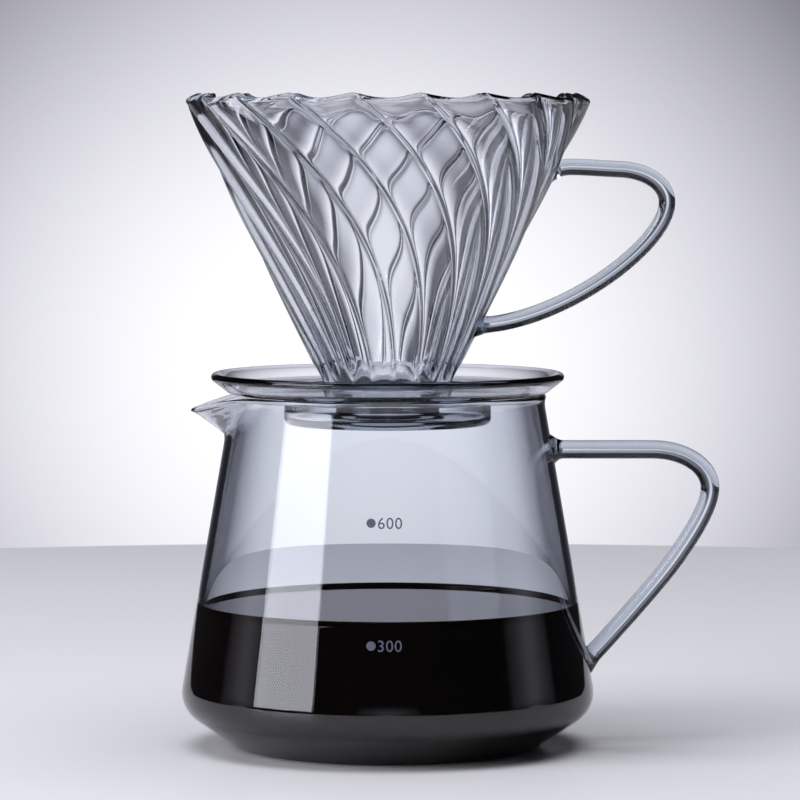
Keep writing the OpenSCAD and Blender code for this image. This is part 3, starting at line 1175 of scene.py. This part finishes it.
@dataclass
class Studio:
    """The camera, the lights, the bright backdrop and the pale table."""

    eye: Vector = field(default_factory=lambda: Vector((3.6, -1350.0, 188.0)) * MM)
    pitch: float = 3.687
    lens: float = 209.0
    table_r: float = 0.62
    table_drop: float = 0.05 * MM
    key: Softbox = Softbox("key_softbox", 60.0, 22.0, 1.2, (0.82, 0.86), 6.0)
    top: Softbox = Softbox("top_softbox", 0.0, 88.0, 1.3, (1.3, 1.3), 3.8)
    main_glow: Glow = Glow(-3.3, 10.39, 9.03)
    main_gain: float = 2.126
    main_cut: float = -1.011
    high_glow: Glow = Glow(6.6, 10.0, 3.0)
    high_gain: float = 0.45
    wall_gain: float = 0.14
    wall_aside: tuple[float, float] = (20.0, 13.0)
    wall_rise: tuple[float, float] = (13.0, 8.0)
    ground_gain: float = 0.7
    ground_edge: tuple[float, float] = (-0.145, -0.175)
    room_light: float = 0.022
    middle_turn: float = 0.54
    dim_tone: Tone = (0.935, 0.93, 1.13)
    bright_tone: Tone = (0.99, 0.984, 1.026)

    def build_camera(self) -> None:
        """Sets up the camera, level with the cone's rim and tipped slightly down."""
        data = bpy.data.cameras.new("view")
        data.lens = self.lens
        data.sensor_width = 36.0
        data.clip_start = 0.05
        camera = bpy.data.objects.new("view", data)
        camera.location = self.eye
        camera.rotation_euler = (math.radians(90 - self.pitch), 0, 0)
        bpy.context.scene.collection.objects.link(camera)
        bpy.context.scene.camera = camera

    def build_table(self) -> None:
        """Makes the round pale table top."""
        bm = bmesh.new()
        bmesh.ops.create_circle(bm, cap_ends=True, segments=128, radius=self.table_r)
        bmesh.ops.recalc_face_normals(bm, faces=bm.faces)
        mesh = bpy.data.meshes.new("table_top")
        moved(bm, lambda co: co - Vector((0, 0, self.table_drop)))
        bm.to_mesh(mesh)
        bm.free()
        mesh.materials.append(PaleTable().build())
        table = bpy.data.objects.new("table_top", mesh)
        bpy.context.scene.collection.objects.link(table)

    def build_softbox(self, box: Softbox) -> bpy.types.Object:
        """Hangs a softbox that faces the object.

        Args:
            box: The softbox.

        Returns:
            The light.
        """
        data = bpy.data.lights.new(box.name, "AREA")
        data.shape = "RECTANGLE"
        data.size, data.size_y = box.size
        data.energy = box.radiance * math.pi * box.size[0] * box.size[1]
        data.color = box.colour
        light = bpy.data.objects.new(box.name, data)
        turn, rise = math.radians(box.azimuth), math.radians(box.elevation)
        level = Vector((-math.sin(turn), -math.cos(turn), 0.0))
        aim = level * math.cos(rise) + Vector((0.0, 0.0, math.sin(rise)))
        light.location = aim * box.distance + Vector((0, 0, box.aim_z))
        light.rotation_euler = aim.to_track_quat("Z", "Y").to_euler()
        light.visible_camera = False
        bpy.context.scene.collection.objects.link(light)
        return light

    def build_lights(self) -> None:
        """Hangs the softboxes."""
        self.build_softbox(self.key)
        overhead = self.build_softbox(self.top)
        overhead.visible_glossy = False
        overhead.visible_transmission = False

    def glow(self, calc: Callable[..., bpy.types.NodeSocket], aside: bpy.types.NodeSocket,
             rise: bpy.types.NodeSocket, pool: Glow) -> bpy.types.NodeSocket:
        """Works out how bright a pool of light is.

        Args:
            calc: Makes a math node.
            aside: Angle to the side of the pool's middle.
            rise: Angle above the horizon.
            pool: The pool.

        Returns:
            The pool's brightness, 1 at its middle.
        """
        over = calc("SUBTRACT", rise, math.radians(pool.centre))
        over = calc("DIVIDE", over, math.radians(pool.tall))
        out = calc("DIVIDE", aside, math.radians(pool.wide))
        spread = calc("ADD", calc("MULTIPLY", out, out), calc("MULTIPLY", over, over))
        return calc("POWER", math.e, calc("MULTIPLY", spread, -1.0))

    def build_backdrop(self) -> None:
        """Makes the studio's surroundings: a glowing backdrop in a dim room."""
        world = bpy.data.worlds.new("studio_room")
        world.use_nodes = True
        bpy.context.scene.world = world
        nodes, links = world.node_tree.nodes, world.node_tree.links
        place = nodes.new("ShaderNodeTexCoord")
        split = nodes.new("ShaderNodeSeparateXYZ")
        links.new(place.outputs["Generated"], split.inputs["Vector"])

        def calc(operation: str, a: object, b: object = 0.0, c: object = 0.0) -> bpy.types.NodeSocket:
            """Makes a math node.

            Args:
                operation: What it works out.
                a: Its first value, a number or a socket.
                b: Its second value.
                c: Its third value.

            Returns:
                The socket that holds its result.
            """
            node = nodes.new("ShaderNodeMath")
            node.operation = operation
            for socket, value in zip(node.inputs, (a, b, c)):
                if isinstance(value, bpy.types.NodeSocket):
                    links.new(value, socket)
                else:
                    socket.default_value = value
            return node.outputs["Value"]

        def ramp(value: bpy.types.NodeSocket, start: float, end: float) -> bpy.types.NodeSocket:
            """Makes a soft ramp from 0 to 1.

            Args:
                value: What it reads.
                start: Where it is 0.
                end: Where it is 1.

            Returns:
                The socket that holds its result.
            """
            node = nodes.new("ShaderNodeMapRange")
            node.interpolation_type = "SMOOTHSTEP"
            node.inputs["From Min"].default_value = start
            node.inputs["From Max"].default_value = end
            links.new(value, node.inputs["Value"])
            return node.outputs["Result"]

        x, y, z = split.outputs["X"], split.outputs["Y"], split.outputs["Z"]
        heading = calc("ADD", calc("ARCTAN2", x, y), math.radians(self.middle_turn))
        # The same backdrop stands behind each side of the object.
        aside = calc("PINGPONG", heading, math.pi / 4)
        rise = calc("ARCSINE", z)
        near = self.glow(calc, aside, rise, self.main_glow)
        pool = calc("MULTIPLY_ADD", near, self.main_gain, self.main_cut)
        card = calc("MULTIPLY", self.glow(calc, aside, rise, self.high_glow), self.high_gain)
        across = ramp(aside, *(math.radians(w) for w in self.wall_aside))
        upward = ramp(z, *(math.sin(math.radians(w)) for w in self.wall_rise))
        wall = calc("MULTIPLY", calc("MULTIPLY", across, upward), self.wall_gain)
        lit = calc("ADD", calc("MAXIMUM", pool, wall), card)
        ground = calc("MULTIPLY", ramp(z, *self.ground_edge), self.ground_gain)
        level = calc("MAXIMUM", calc("MAXIMUM", lit, ground), self.room_light)
        tone = blended(world.node_tree, level, self.dim_tone, self.bright_tone)
        links.new(tone, nodes["Background"].inputs["Color"])
        links.new(level, nodes["Background"].inputs["Strength"])

    def build(self) -> None:
        """Builds the whole studio."""
        self.build_camera()
        self.build_table()
        self.build_lights()
        self.build_backdrop()
        bpy.context.scene.view_settings.view_transform = "Standard"


def main() -> None:
    """Builds every piece in order and reports it."""
    logging.basicConfig(level=logging.INFO, format="%(name)s: %(message)s")
    Studio().build()
    groups = SharedGroups()
    glass = SmokedGlass().build(groups)
    thin_glass = SmokedGlass(name="light_smoke_glass", density=66.0).build(groups)
    rod_glass = SmokedGlass(name="rod_glass", density=120.0, ripple=0.012, smeared=0.01).build(groups)
    enamel = FiredEnamel().build()
    server = Server()
    server.build_body(glass)
    server.build_handle(rod_glass)
    server.build_coffee(BlackCoffee().build(groups, server.coffee_z))
    for digits in ("600", "300"):
        server.build_mark(digits, enamel)
    dripper = Dripper()
    dripper.build_cone(thin_glass)
    dripper.build_bead(thin_glass)
    dripper.build_saucer(thin_glass)
    dripper.build_handle(rod_glass)


if __name__ == "__main__":
    main()
